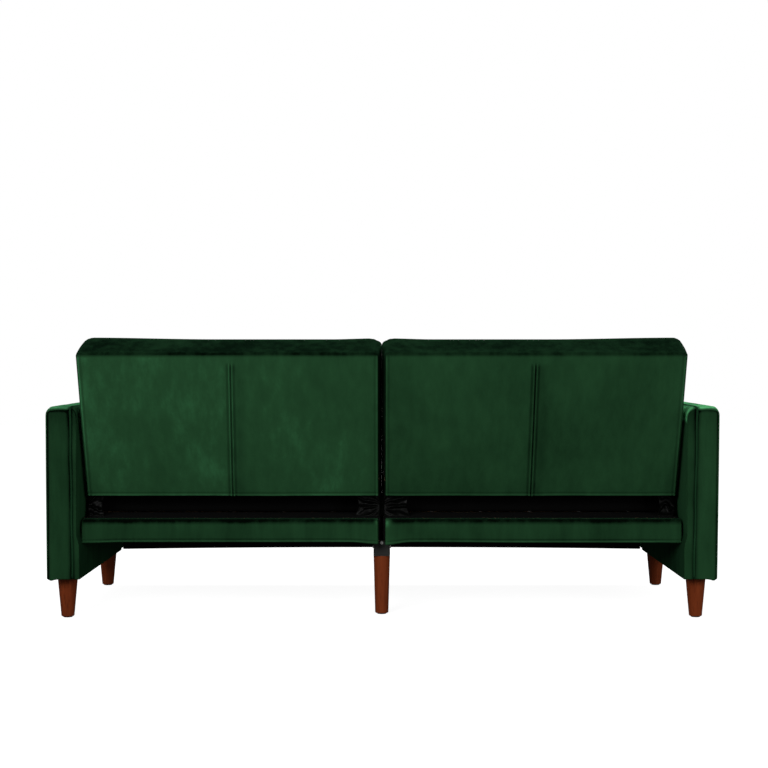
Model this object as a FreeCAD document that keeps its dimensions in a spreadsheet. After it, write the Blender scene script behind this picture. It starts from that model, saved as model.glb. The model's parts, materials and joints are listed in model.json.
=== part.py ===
import FreeCAD, Part
import math
import os
import re
import Sketcher

# Split-back futon sofa bed, in millimetres.
# +X is the sitter's left, -Y is the front, +Z is up. The origin is on the floor, under the middle
# of the sofa's box. Every "left" piece is drawn, and its "right" twin is its mirror image.
#
# A back half is drawn in its own upright frame, with its rear face on Y = 0 and its foot on Z = 0.
# It then leans back by the recline angle about its rear lower edge.

DIMENSIONS = {
    # allowances: how far a cut runs past what it cuts, and the play round a fitted frame
    "overcut": 1,
    "frame_gap": 1,
    # arms
    "arm_inner": 935,
    "arm_seam_inner": 965,
    "arm_seam_outer": 970,
    "arm_outer": 1035,
    "arm_front": -435.8,
    "arm_rear": 374,
    "arm_bottom": 126,
    "arm_top": 650,
    "arm_wall": 18,
    "arm_round": 13,
    "piping_proud": 1.5,
    "piping_depth": 6,
    "arm_frame_thick": 45,
    "arm_rail": 60,
    "arm_post_front": -60,
    "arm_post_rear": 0,
    # corner legs
    "leg_x": 978.6,
    "leg_rear_y": 299,
    "leg_front_y": -365,
    "leg_foot_radius": 20,
    "leg_top_radius": 31.2,
    "leg_chamfer": 2,
    "glide_thick": 3,
    "glide_radius": 14,
    # hanger bolts and their plates
    "hanger_radius": 4,
    "hanger_reach": 46,
    "bore_gap": 0.1,
    "plate_thick": 3,
    "mount_plate_half": 30,
    "center_hanger_rise": 4,
    # centre support
    "beam_half_width": 20,
    "beam_wall": 2,
    "beam_low": 190,
    "beam_high": 234,
    "beam_front": -388,
    "beam_rear": 268,
    "center_leg_rear_y": 240,
    "center_leg_front_y": -350,
    "center_leg_foot_radius": 21,
    "center_leg_top_radius": 26,
    "center_leg_top": 185,
    "bracket_half_width": 26,
    "bracket_half_length": 26,
    "bracket_top": 232,
    "bracket_screw_radius": 5,
    "bracket_screw_thick": 3,
    "bracket_screw_height": 227,
    # seat frame
    "seat_frame_inner": 5,
    "seat_frame_outer": 928.5,
    "seat_frame_front": -394,
    "seat_frame_rear": 289,
    "seat_frame_low": 236,
    "seat_frame_high": 307,
    "seat_rail": 36,
    "cross_rail_front": 104,
    "cross_rail_rear": 140,
    # seat upholstery
    "seat_cushion_inner": 2,
    "seat_cushion_outer": 925,
    "seat_cushion_front": -430,
    "seat_cushion_rear": 139,
    "seat_cushion_low": 312,
    "seat_cushion_high": 465,
    "seat_cushion_round": 24,
    "apron_inner": 8.5,
    "apron_outer": 931,
    "apron_front": -430,
    "apron_low": 126,
    "apron_high": 309,
    "apron_round": 8,
    "rear_rail_inner": 10.5,
    "rear_rail_rear": 329,
    "rear_rail_round": 12,
    "cover_thick": 2,
    "cover_inset": 3,
    "seat_notch_margin": 16,
    # seat springs
    "spring_wire_radius": 1.8,
    "spring_half_width": 26,
    "spring_pitch": 64,
    "spring_spacing": 160,
    "spring_lift": 0.2,
    "spring_end_inset": 12,
    # back half, in its own upright frame
    "recline": 21,
    "back_foot_y": 266,
    "back_foot_z": 371,
    "back_height": 481,
    "back_thick": 140,
    "back_inner": 2,
    "back_outer": 925,
    "back_round": 24,
    "panel_inner": 8.5,
    "panel_thick": 12,
    "panel_inset": 3,
    "panel_round": 5,
    "back_wall": 28,
    "back_frame_front": 58,
    "back_rail": 44,
    "back_frame_gap": 2,
    "back_cavity_gap": 4,
    "back_block_below": 10,
    "back_block_above": 6,
    "strap_width": 50,
    "strap_thick": 2,
    "strap_first": 110,
    "strap_spacing": 110,
    # hinges
    "hinge_inset": 28,
    "back_boss_radius": 24,
    "seat_boss_radius": 26,
    "hinge_plate": 3,
    "hinge_gap": 0.5,
    "pin_radius": 5,
    "pin_clearance": 0.06,
    "screw_radius": 3,
    "screw_reach": 24,
    "back_plate_low": 60,
    "back_plate_high": 196,
    "back_plate_edge": 6,
    "back_plate_front_reach": 12,
    "back_plate_front_rise": 20,
    "back_plate_foot_reach": 14,
    "back_plate_foot_drop": 18,
    "back_screw_depth": 37,
    "back_screw_low": 92,
    "back_screw_high": 164,
    "hinge_notch_height": 215,
    "seat_plate_front": 62,
    "seat_plate_rear": 228,
    "seat_plate_low": 244,
    "seat_plate_high": 302,
    "seat_plate_neck": 24,
    "seat_plate_neck_drop": 8,
    "seat_plate_waist": 26,
    "seat_plate_waist_rise": 30,
    "seat_screw_z": 272,
    "seat_screw_front": 92,
    "seat_screw_rear": 198,
    # arm bolts
    "arm_bolt_radius": 4,
    "arm_bolt_z": 272,
    "arm_bolt_start": 895,
    "arm_bolt_end": 1008,
}
ARM_BOLT_PLACES = (-300, -90, 255)
SPRINGS = 5
STRAPS = 3

doc = FreeCAD.newDocument("FutonSofaBed")
sheet = doc.addObject("Spreadsheet::Sheet", "Dims")
for row, (alias, value) in enumerate(DIMENSIONS.items(), start=1):
    sheet.set(f"A{row}", alias.replace("_", " "))
    sheet.set(f"B{row}", str(value))
    sheet.setAlias(f"B{row}", alias)
doc.recompute()

ALIAS = re.compile(r"\b(" + "|".join(DIMENSIONS) + r")\b")
SIZE = {alias: sheet.get(alias) for alias in DIMENSIONS}
NODES = []


def linked(expression):
    """The expression with every alias written as a cell of the sheet."""
    return ALIAS.sub(r"Dims.\1", str(expression))


def bind(thing, **expressions):
    for name, expression in expressions.items():
        thing.setExpression(name, linked(expression))
    return thing


def place(thing, x=0, y=0, z=0, turn="vector(0; 0; 1)", angle=0):
    where = f"placement(vector({x}; {y}; {z}); rotation({turn}; {angle}))"
    thing.setExpression("Placement", linked(where))
    return thing


def lean(thing):
    """Leans a piece of the back half, drawn upright, to its place on the sofa."""
    return place(thing, 0, "back_foot_y", "back_foot_z", "vector(-1; 0; 0)", "recline")


def node(thing, label):
    thing.Label = label
    NODES.append(thing)
    return thing


def box(x, y, z):
    """A box between two limits along each axis."""
    block = doc.addObject("Part::Box", "Block")
    bind(
        block,
        Length=f"({x[1]}) - ({x[0]})",
        Width=f"({y[1]}) - ({y[0]})",
        Height=f"({z[1]}) - ({z[0]})",
    )
    return place(block, x[0], y[0], z[0])


def rod(radius, start, length, along):
    """A cylinder from start, along X, Y or Z."""
    turns = {
        "x": ("vector(0; 1; 0)", 90),
        "y": ("vector(-1; 0; 0)", 90),
        "z": ("vector(0; 0; 1)", 0),
    }
    cylinder = doc.addObject("Part::Cylinder", "Rod")
    bind(cylinder, Radius=radius, Height=length)
    return place(cylinder, *start, *turns[along])


def group(things):
    bundle = doc.addObject("Part::Compound", "Group")
    bundle.Links = things
    return bundle


def cut(base, tools):
    result = doc.addObject("Part::Cut", "Cut")
    result.Base = base
    result.Tool = group(tools) if len(tools) > 1 else tools[0]
    return result


def fuse(things):
    result = doc.addObject("Part::MultiFuse", "Fuse")
    result.Shapes = things
    return result


def mirrored(thing):
    twin = doc.addObject("Part::Mirroring", "Mirror")
    twin.Source = thing
    twin.Base = (0, 0, 0)
    twin.Normal = (1, 0, 0)
    return twin


def origin_plane(body, role):
    return next(plane for plane in body.Origin.OriginFeatures if plane.Role == role)


def closed_sketch(body, role, corners):
    """A closed outline of straight lines. Each corner's two coordinates are bound to the sheet."""
    sketch = body.newObject("Sketcher::SketchObject", "Outline")
    sketch.AttachmentSupport = [(origin_plane(body, role), "")]
    sketch.MapMode = "FlatFace"
    count = len(corners)
    start_radius = 100
    around = [
        FreeCAD.Vector(
            start_radius * math.cos(math.tau * i / count),
            start_radius * math.sin(math.tau * i / count),
            0,
        )
        for i in range(count)
    ]
    for i in range(count):
        sketch.addGeometry(Part.LineSegment(around[i], around[(i + 1) % count]), False)
    for i in range(count):
        sketch.addConstraint(Sketcher.Constraint("Coincident", i, 2, (i + 1) % count, 1))
    for i, corner in enumerate(corners):
        for kind, first, expression in zip(("DistanceX", "DistanceY"), around[i], corner):
            number = sketch.addConstraint(Sketcher.Constraint(kind, -1, 1, i, 1, first))
            sketch.setExpression(f"Constraints[{number}]", linked(expression))
    return sketch


def slab(corners, x):
    """A flat piece: an outline in the YZ plane, between two limits of X."""
    body = doc.addObject("PartDesign::Body", "Slab")
    sketch = closed_sketch(body, "YZ_Plane", corners)
    pad = body.newObject("PartDesign::Pad", "Pad")
    pad.Profile = sketch
    bind(pad, Length=f"({x[1]}) - ({x[0]})")
    place(body, x[0])
    doc.recompute()
    return body


def rectangle(y, z):
    return [(y[0], z[0]), (y[1], z[0]), (y[1], z[1]), (y[0], z[1])]


def round_edges(body, radius, wanted):
    """Rounds the edges whose middle point, in the body's own frame, is wanted."""
    tip = body.Tip
    names = [
        f"Edge{number}"
        for number, edge in enumerate(tip.Shape.Edges, start=1)
        if wanted(edge.valueAt((edge.FirstParameter + edge.LastParameter) / 2))
    ]
    fillet = body.newObject("PartDesign::Fillet", "Round")
    fillet.Base = (tip, names)
    bind(fillet, Radius=radius)
    doc.recompute()
    return body


def turned(profile, bore_radius=None):
    """A round piece about Z from half its section."""
    body = doc.addObject("PartDesign::Body", "Turned")
    sketch = closed_sketch(body, "XZ_Plane", profile)
    revolution = body.newObject("PartDesign::Revolution", "Revolution")
    revolution.Profile = sketch
    revolution.ReferenceAxis = (sketch, ["V_Axis"])
    revolution.Angle = 360
    return body


def near(value, target, within=0.5):
    return abs(value - target) < within


def left_arm():
    rise = ("arm_bottom", "arm_top")
    run = ("arm_front", "arm_rear")
    hole = "hanger_radius + bore_gap"
    hanger_holes = [
        rod(hole, ("leg_x", y, "arm_bottom - overcut"), "hanger_reach + 2 * overcut", "z")
        for y in ("leg_rear_y", "leg_front_y")
    ]
    bolt_holes = [
        rod("arm_bolt_radius + bore_gap", ("arm_bolt_start", y, "arm_bolt_z"),
            "arm_bolt_end - arm_bolt_start + overcut", "x")
        for y in ARM_BOLT_PLACES
    ]

    outer = slab(rectangle(run, rise), ("arm_seam_outer", "arm_outer"))
    outer_face = SIZE["arm_outer"] - SIZE["arm_seam_outer"]
    round_edges(outer, "arm_round", lambda p: near(p.x, outer_face))
    cavity = box(
        ("arm_seam_outer - overcut", "arm_seam_outer + arm_frame_thick + frame_gap"),
        ("arm_front + arm_wall", "arm_rear - arm_wall"),
        ("arm_bottom + arm_wall", "arm_top - arm_wall"),
    )
    node(cut(outer, [cavity, *hanger_holes]), "left_arm_outer_pad")

    inner = slab(rectangle(run, rise), ("arm_inner", "arm_seam_inner"))
    round_edges(inner, "arm_round / 2", lambda p: near(p.x, 0))
    node(cut(inner, bolt_holes), "left_arm_inner_pad")

    seam = ("arm_seam_inner", "arm_seam_outer")
    edge = box(
        seam,
        ("arm_front - piping_proud", "arm_rear + piping_proud"),
        ("arm_bottom", "arm_top + piping_proud"),
    )
    middle = box(
        ("arm_seam_inner - overcut", "arm_seam_outer + overcut"),
        ("arm_front + piping_depth", "arm_rear - piping_depth"),
        ("arm_bottom + piping_depth", "arm_top - piping_depth"),
    )
    node(cut(edge, [middle]), "left_arm_piping")

    frame_low = "arm_bottom + arm_wall + plate_thick"
    frame_x = ("arm_seam_outer", "arm_seam_outer + arm_frame_thick")
    frame = box(
        frame_x,
        ("arm_front + arm_wall + frame_gap", "arm_rear - arm_wall - frame_gap"),
        (frame_low, "arm_top - arm_wall - frame_gap"),
    )
    front_window = box(
        ("arm_seam_outer - overcut", "arm_seam_outer + arm_frame_thick + frame_gap"),
        ("arm_front + arm_wall + arm_rail", "arm_post_front"),
        ("arm_bolt_z + arm_rail", "arm_top - arm_wall - arm_rail"),
    )
    rear_window = box(
        ("arm_seam_outer - overcut", "arm_seam_outer + arm_frame_thick + frame_gap"),
        ("arm_post_rear", "arm_rear - arm_wall - arm_rail"),
        ("arm_bolt_z + arm_rail", "arm_top - arm_wall - arm_rail"),
    )
    node(cut(frame, [front_window, rear_window, *hanger_holes, *bolt_holes]), "left_arm_frame")


def corner_leg(label, y):
    hole = "hanger_radius + bore_gap"
    profile = [
        (hole, "glide_thick"),
        ("leg_foot_radius - leg_chamfer", "glide_thick"),
        ("leg_foot_radius", "glide_thick + leg_chamfer"),
        ("leg_top_radius", "arm_bottom"),
        (hole, "arm_bottom"),
    ]
    return node(place(turned(profile), "leg_x", y), label)


def center_leg(label, y):
    hole = "hanger_radius + bore_gap"
    profile = [
        (hole, "glide_thick"),
        ("center_leg_foot_radius - leg_chamfer", "glide_thick"),
        ("center_leg_foot_radius", "glide_thick + leg_chamfer"),
        ("center_leg_top_radius", "center_leg_top"),
        (hole, "center_leg_top"),
    ]
    return node(place(turned(profile), 0, y), label)


def glides_and_leg_bolts():
    corners = [("leg_x", "leg_rear_y"), ("leg_x", "leg_front_y")]
    centers = [("0", "center_leg_rear_y"), ("0", "center_leg_front_y")]
    corner_glides = [rod("glide_radius", (x, y, 0), "glide_thick", "z") for x, y in corners]
    center_glides = [rod("glide_radius", (x, y, 0), "glide_thick", "z") for x, y in centers]
    twins = [mirrored(glide) for glide in corner_glides]
    node(group(corner_glides + twins + center_glides), "foot_glides")

    corner_bolts = [
        rod("hanger_radius", (x, y, "arm_bottom - hanger_reach"), "2 * hanger_reach", "z")
        for x, y in corners
    ]
    center_bolts = [
        rod("hanger_radius", (x, y, "center_leg_top - hanger_reach"),
            "hanger_reach + center_hanger_rise", "z")
        for x, y in centers
    ]
    twins = [mirrored(bolt) for bolt in corner_bolts]
    node(group(corner_bolts + twins + center_bolts), "leg_hanger_bolts")

    plates = []
    for x, y in corners:
        plate = box(
            ("arm_seam_outer + frame_gap", "arm_seam_outer + arm_frame_thick - frame_gap"),
            (f"{y} - mount_plate_half", f"{y} + mount_plate_half"),
            ("arm_bottom + arm_wall", "arm_bottom + arm_wall + plate_thick"),
        )
        hole = rod("hanger_radius + bore_gap", (x, y, "arm_bottom"), "hanger_reach", "z")
        plates.append(cut(plate, [hole]))
    node(group(plates + [mirrored(plate) for plate in plates]), "leg_mount_plates")


def center_support():
    outside = box(
        ("-beam_half_width", "beam_half_width"),
        ("beam_front", "beam_rear"),
        ("beam_low", "beam_high"),
    )
    inside = box(
        ("beam_wall - beam_half_width", "beam_half_width - beam_wall"),
        ("beam_front - overcut", "beam_rear - beam_wall"),
        ("beam_low + beam_wall", "beam_high - beam_wall"),
    )
    node(cut(outside, [inside]), "center_beam")
    for end, y in (("rear", "center_leg_rear_y"), ("front", "center_leg_front_y")):
        block = box(
            ("-bracket_half_width", "bracket_half_width"),
            (f"{y} - bracket_half_length", f"{y} + bracket_half_length"),
            ("center_leg_top", "bracket_top"),
        )
        channel = box(
            ("-beam_half_width", "beam_half_width"),
            (f"{y} - bracket_half_length - overcut", f"{y} + bracket_half_length + overcut"),
            ("beam_low", "bracket_top + overcut"),
        )
        floor = "beam_low - center_leg_top + 2 * overcut"
        hole = rod("hanger_radius + bore_gap", (0, y, "center_leg_top - overcut"), floor, "z")
        node(cut(block, [channel, hole]), f"center_{end}_bracket")
    head = ("bracket_screw_radius", "bracket_screw_thick")
    screws = [rod(head[0], (0, "beam_rear", "bracket_screw_height"), head[1], "y")]
    for y in ("center_leg_rear_y", "center_leg_front_y"):
        for x in ("bracket_half_width", "-bracket_half_width - bracket_screw_thick"):
            screws.append(rod(head[0], (x, y, "(beam_low + beam_high) / 2"), head[1], "x"))
    node(group(screws), "center_bracket_screws")


def left_seat_frame():
    rise = ("seat_frame_low", "seat_frame_high")
    block = box(
        ("seat_frame_inner", "seat_frame_outer"), ("seat_frame_front", "seat_frame_rear"), rise
    )
    width = ("seat_frame_inner + seat_rail", "seat_frame_outer - seat_rail")
    through = ("seat_frame_low - overcut", "seat_frame_high + overcut")
    front_bay = box(width, ("seat_frame_front + seat_rail", "cross_rail_front"), through)
    rear_bay = box(width, ("cross_rail_rear", "seat_frame_rear - seat_rail"), through)
    bolt_holes = [
        rod("arm_bolt_radius + bore_gap", ("arm_bolt_start - overcut", y, "arm_bolt_z"),
            "seat_frame_outer - arm_bolt_start + 2 * overcut", "x")
        for y in ARM_BOLT_PLACES
    ]
    screw_holes = [
        rod("screw_radius + bore_gap", (x, y, "seat_screw_z"), "screw_reach + overcut", "x")
        for x in ("seat_frame_inner - overcut", "seat_frame_outer - screw_reach")
        for y in ("seat_screw_front", "seat_screw_rear")
    ]
    node(cut(block, [front_bay, rear_bay, *bolt_holes, *screw_holes]), "left_seat_frame")


def zigzag_path(x, y_start, y_end, z, half_width, pitch):
    """A flat zigzag of straight runs joined by half circles, along Y."""
    radius = pitch / 4
    reach = half_width - radius
    loops = int((y_end - y_start) // (pitch / 2))
    point = FreeCAD.Vector
    edges = []
    side = 1
    y = y_start
    for _ in range(loops):
        left = point(x - side * reach, y, z)
        right = point(x + side * reach, y, z)
        crown = point(x + side * (reach + radius), y + radius, z)
        after = point(x + side * reach, y + 2 * radius, z)
        edges.append(Part.makeLine(left, right))
        edges.append(Part.Arc(right, crown, after).toShape())
        y += 2 * radius
        side = -side
    return Part.Wire(edges)


def left_seat_springs():
    wire = SIZE["spring_wire_radius"]
    height = SIZE["seat_frame_high"] + wire + SIZE["spring_lift"]
    middle = (SIZE["seat_frame_inner"] + SIZE["seat_frame_outer"]) / 2
    y_start = SIZE["seat_frame_front"] + SIZE["seat_rail"] / 2
    solids = []
    for number in range(SPRINGS):
        x = middle + (number - (SPRINGS - 1) / 2) * SIZE["spring_spacing"]
        path = zigzag_path(
            x, y_start, SIZE["cross_rail_rear"] - SIZE["spring_end_inset"], height,
            SIZE["spring_half_width"], SIZE["spring_pitch"],
        )
        first = path.OrderedEdges[0]
        start = path.OrderedVertexes[0].Point
        heading = first.tangentAt(first.FirstParameter)
        ring = Part.Wire(Part.makeCircle(wire, start, heading))
        solids.append(path.makePipeShell([ring], True, True))
    springs = doc.addObject("Part::Feature", "Springs")
    springs.Shape = Part.makeCompound(solids)
    springs.Placement = FreeCAD.Placement()
    node(springs, "left_seat_springs")


def left_seat_upholstery():
    cushion = slab(
        rectangle(
            ("seat_cushion_front", "seat_cushion_rear"), ("seat_cushion_low", "seat_cushion_high")
        ),
        ("seat_cushion_inner", "seat_cushion_outer"),
    )
    top = SIZE["seat_cushion_high"]
    round_edges(cushion, "seat_cushion_round", lambda p: near(p.z, top))
    notch = box(
        ("seat_cushion_inner - overcut", "seat_frame_inner + frame_gap"),
        ("seat_plate_front - seat_notch_margin", "seat_cushion_rear + overcut"),
        ("seat_cushion_low - overcut", "seat_cushion_high + overcut"),
    )
    node(cut(cushion, [notch]), "left_seat_cushion")

    apron = slab(
        rectangle(("apron_front", "seat_frame_front"), ("apron_low", "apron_high")),
        ("apron_inner", "apron_outer"),
    )
    front = SIZE["apron_front"]
    round_edges(apron, "apron_round", lambda p: near(p.y, front))
    node(apron, "left_front_apron")

    rail = slab(
        rectangle(("seat_frame_rear", "rear_rail_rear"), ("seat_frame_low", "seat_frame_high")),
        ("rear_rail_inner", "apron_outer"),
    )
    rear = SIZE["rear_rail_rear"]
    round_edges(rail, "rear_rail_round", lambda p: near(p.y, rear))
    node(rail, "left_rear_rail")

    covered = ("seat_frame_inner + cover_inset", "seat_frame_outer - cover_inset")
    node(
        box(
            covered,
            ("seat_frame_front + cover_inset", "seat_frame_rear - cover_inset"),
            ("seat_frame_low - cover_thick", "seat_frame_low"),
        ),
        "left_seat_dust_cover",
    )
    node(
        box(
            covered,
            ("cross_rail_rear + frame_gap", "seat_frame_rear"),
            ("seat_frame_high", "seat_frame_high + cover_thick"),
        ),
        "left_seat_rear_cover",
    )


def pivot_on_back():
    """The hinge axis in the back half's own upright frame."""
    return ("hinge_inset - back_thick", "hinge_inset")


def left_back():
    deep = ("-back_thick", "-panel_thick")
    cushion = slab(
        rectangle(deep, ("cover_thick", "back_height")), ("back_inner", "back_outer")
    )
    front = -SIZE["back_thick"]
    low = SIZE["cover_thick"]
    high = SIZE["back_height"]
    round_edges(cushion, "hinge_inset - cover_thick", lambda p: near(p.y, front) and near(p.z, low))
    round_edges(
        cushion,
        "back_round",
        lambda p: near(p.y, front) and near(p.z, high),
    )
    frame_back = ("-back_frame_front", "-panel_thick - back_frame_gap")
    block_rise = ("back_plate_low - back_block_below", "back_plate_high + back_block_above")
    cavity = box(
        ("back_inner + back_wall", "back_outer - back_wall"),
        ("-back_frame_front - back_cavity_gap", "-panel_thick + overcut"),
        ("back_wall", "back_height - back_wall"),
    )
    end_window = box(("back_inner - overcut", "back_outer + overcut"), frame_back, block_rise)
    notch = box(
        ("back_inner - overcut", "panel_inner"),
        ("-back_thick - overcut", "0"),
        ("-overcut", "hinge_notch_height"),
    )
    node(lean(cut(cushion, [cavity, end_window, notch])), "left_back_cushion")

    panel = slab(
        rectangle(("-panel_thick", "0"), ("panel_inset", "back_height - panel_inset")),
        ("panel_inner", "back_outer"),
    )
    round_edges(panel, "panel_round", lambda p: near(p.y, 0))
    node(lean(group([panel])), "left_back_rear_panel")

    cover = box(
        ("panel_inner", "back_outer - cover_inset"),
        ("hinge_inset - back_thick", "-panel_thick"),
        ("0", "cover_thick"),
    )
    node(lean(group([cover])), "left_back_bottom_cover")

    board = box(
        ("back_inner + back_wall + frame_gap", "back_outer - back_wall - frame_gap"),
        frame_back,
        ("back_wall + frame_gap", "back_height - back_wall - frame_gap"),
    )
    blocks = box(("panel_inner", "back_outer"), frame_back, block_rise)
    upright = ("-back_frame_front - overcut", "-panel_thick")
    middle = "(back_inner + back_outer) / 2"
    rise = ("back_wall + back_rail", "back_height - back_wall - back_rail")
    bays = [
        box(("back_inner + back_wall + back_rail", f"{middle} - back_rail / 2"), upright, rise),
        box((f"{middle} + back_rail / 2", "back_outer - back_wall - back_rail"), upright, rise),
    ]
    screw_places = [("-back_screw_depth", "back_screw_low"), ("-back_screw_depth", "back_screw_high")]
    holes = [
        rod("screw_radius + bore_gap", (x, y, z), "screw_reach + overcut", "x")
        for x in ("panel_inner - overcut", "back_outer - screw_reach")
        for y, z in screw_places
    ]
    node(lean(cut(fuse([board, blocks]), bays + holes)), "left_back_frame")

    straps = [
        box(
            ("back_inner + back_wall + frame_gap", "back_outer - back_wall - frame_gap"),
            ("-back_frame_front - strap_thick", "-back_frame_front"),
            (f"strap_first + {i} * strap_spacing", f"strap_first + strap_width + {i} * strap_spacing"),
        )
        for i in range(STRAPS)
    ]
    node(lean(group(straps)), "left_back_webbing")

    pivot_y, pivot_z = pivot_on_back()
    outline = [
        (f"{pivot_y} - back_plate_front_reach", f"{pivot_z} + back_plate_front_rise"),
        (f"{pivot_y} + back_plate_foot_reach", f"{pivot_z} - back_plate_foot_drop"),
        ("-panel_thick - back_plate_edge", "back_plate_low"),
        ("-panel_thick - back_plate_edge", "back_plate_high"),
        ("-back_frame_front", "back_plate_high"),
    ]
    ends = {"outer": "back_outer", "inner": "panel_inner - hinge_plate"}
    through = "hinge_plate + 2 * overcut"
    for end, x in ends.items():
        arm = slab(outline, (x, f"{x} + hinge_plate"))
        boss = rod("back_boss_radius", (x, pivot_y, pivot_z), "hinge_plate", "x")
        bores = [
            rod("pin_radius + pin_clearance", (f"{x} - overcut", pivot_y, pivot_z), through, "x")
        ]
        for y, z in screw_places:
            bores.append(rod("screw_radius + bore_gap", (f"{x} - overcut", y, z), through, "x"))
        node(lean(cut(fuse([arm, boss]), bores)), f"left_{end}_back_plate")

    screws = [
        rod("screw_radius", (x, y, z), "screw_reach", "x")
        for x in ("panel_inner - hinge_plate", "back_outer + hinge_plate - screw_reach")
        for y, z in screw_places
    ]
    node(lean(group(screws)), "left_back_plate_screws")


def left_seat_plates():
    pivot_y = (
        "(back_foot_y + hinge_inset * sin(recline * 1deg)"
        " - (back_thick - hinge_inset) * cos(recline * 1deg))"
    )
    pivot_z = (
        "(back_foot_z + hinge_inset * cos(recline * 1deg)"
        " + (back_thick - hinge_inset) * sin(recline * 1deg))"
    )
    outline = [
        ("seat_plate_front", "seat_plate_low"),
        ("seat_plate_rear", "seat_plate_low"),
        ("seat_plate_rear", "seat_plate_high"),
        (f"{pivot_y} + seat_plate_neck", f"{pivot_z} - seat_plate_neck_drop"),
        (f"{pivot_y} - seat_plate_neck", f"{pivot_z} - seat_plate_neck_drop"),
        (f"{pivot_y} - seat_plate_waist", "seat_plate_high + seat_plate_waist_rise"),
        ("seat_plate_front", "seat_plate_high"),
    ]
    screw_places = [("seat_screw_front", "seat_screw_z"), ("seat_screw_rear", "seat_screw_z")]
    ends = {
        "outer": "back_outer + hinge_plate + hinge_gap",
        "inner": "panel_inner - 2 * hinge_plate - hinge_gap",
    }
    through = "hinge_plate + 2 * overcut"
    for end, x in ends.items():
        arm = slab(outline, (x, f"{x} + hinge_plate"))
        boss = rod("seat_boss_radius", (x, pivot_y, pivot_z), "hinge_plate", "x")
        bores = [
            rod("pin_radius + bore_gap", (f"{x} - overcut", pivot_y, pivot_z), through, "x")
        ]
        for y, z in screw_places:
            bores.append(rod("screw_radius + bore_gap", (f"{x} - overcut", y, z), through, "x"))
        node(cut(fuse([arm, boss]), bores), f"left_{end}_seat_plate")
    width = "2 * hinge_plate + hinge_gap"
    pins = [
        rod("pin_radius", ("back_outer", pivot_y, pivot_z), width, "x"),
        rod("pin_radius", (ends["inner"], pivot_y, pivot_z), width, "x"),
    ]
    screws = [
        rod("screw_radius", (x, y, z), "screw_reach", "x")
        for x in (ends["inner"], "seat_frame_outer + hinge_plate - screw_reach")
        for y, z in screw_places
    ]
    return pins, screws


def arm_bolts():
    bolts = [
        rod("arm_bolt_radius", ("arm_bolt_start", y, "arm_bolt_z"), "arm_bolt_end - arm_bolt_start", "x")
        for y in ARM_BOLT_PLACES
    ]
    node(group(bolts + [mirrored(bolt) for bolt in bolts]), "arm_bolts")


left_arm()
corner_leg("left_rear_leg", "leg_rear_y")
corner_leg("left_front_leg", "leg_front_y")
left_seat_frame()
left_seat_springs()
left_seat_upholstery()
left_back()
hinge_pins, plate_screws = left_seat_plates()

for left_piece in list(NODES):
    node(mirrored(left_piece), left_piece.Label.replace("left_", "right_", 1))

node(group(hinge_pins + [mirrored(pin) for pin in hinge_pins]), "hinge_pins")
node(group(plate_screws + [mirrored(screw) for screw in plate_screws]), "seat_plate_screws")
center_leg("center_rear_leg", "center_leg_rear_y")
center_leg("center_front_leg", "center_leg_front_y")
center_support()
glides_and_leg_bolts()
arm_bolts()
doc.recompute()

for thing in doc.Objects:
    if "Invalid" in thing.State or "Error" in thing.State:
        raise RuntimeError(f"{thing.Label} failed: {thing.State}")
for piece in NODES:
    if piece.Shape.isNull() or not piece.Shape.isValid() or not piece.Shape.Solids:
        raise RuntimeError(f"{piece.Label} has no sound shape")

os.makedirs("parts", exist_ok=True)
whole = FreeCAD.BoundBox()
for piece in NODES:
    solids = piece.Shape.Solids
    shape = solids[0] if len(solids) == 1 else Part.makeCompound(solids)
    shape.exportStep(f"parts/{piece.Label}.step")
    whole.add(shape.BoundBox)
print(f"{len(NODES)} sub-parts, overall {whole}")
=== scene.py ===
import json
import math

import bpy
import numpy as np
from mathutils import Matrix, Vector

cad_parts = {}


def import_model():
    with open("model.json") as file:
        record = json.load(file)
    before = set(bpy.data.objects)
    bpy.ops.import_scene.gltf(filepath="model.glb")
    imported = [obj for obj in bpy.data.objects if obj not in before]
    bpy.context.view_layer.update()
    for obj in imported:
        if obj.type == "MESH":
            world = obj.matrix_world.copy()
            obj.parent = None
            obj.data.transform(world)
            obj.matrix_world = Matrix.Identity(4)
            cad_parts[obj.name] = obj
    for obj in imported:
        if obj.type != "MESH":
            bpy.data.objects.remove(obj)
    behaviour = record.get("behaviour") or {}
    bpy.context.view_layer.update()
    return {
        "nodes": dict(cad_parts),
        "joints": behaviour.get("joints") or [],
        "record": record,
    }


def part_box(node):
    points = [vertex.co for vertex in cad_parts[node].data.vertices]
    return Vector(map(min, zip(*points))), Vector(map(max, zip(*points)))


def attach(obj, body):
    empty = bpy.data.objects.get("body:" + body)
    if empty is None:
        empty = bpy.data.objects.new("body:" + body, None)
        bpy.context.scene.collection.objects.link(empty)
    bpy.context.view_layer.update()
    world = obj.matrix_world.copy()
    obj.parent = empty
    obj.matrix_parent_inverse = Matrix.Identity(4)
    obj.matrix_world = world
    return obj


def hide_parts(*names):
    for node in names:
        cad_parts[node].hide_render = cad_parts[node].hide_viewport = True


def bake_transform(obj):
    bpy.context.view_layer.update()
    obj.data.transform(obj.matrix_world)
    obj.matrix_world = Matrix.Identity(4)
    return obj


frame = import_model()

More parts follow.
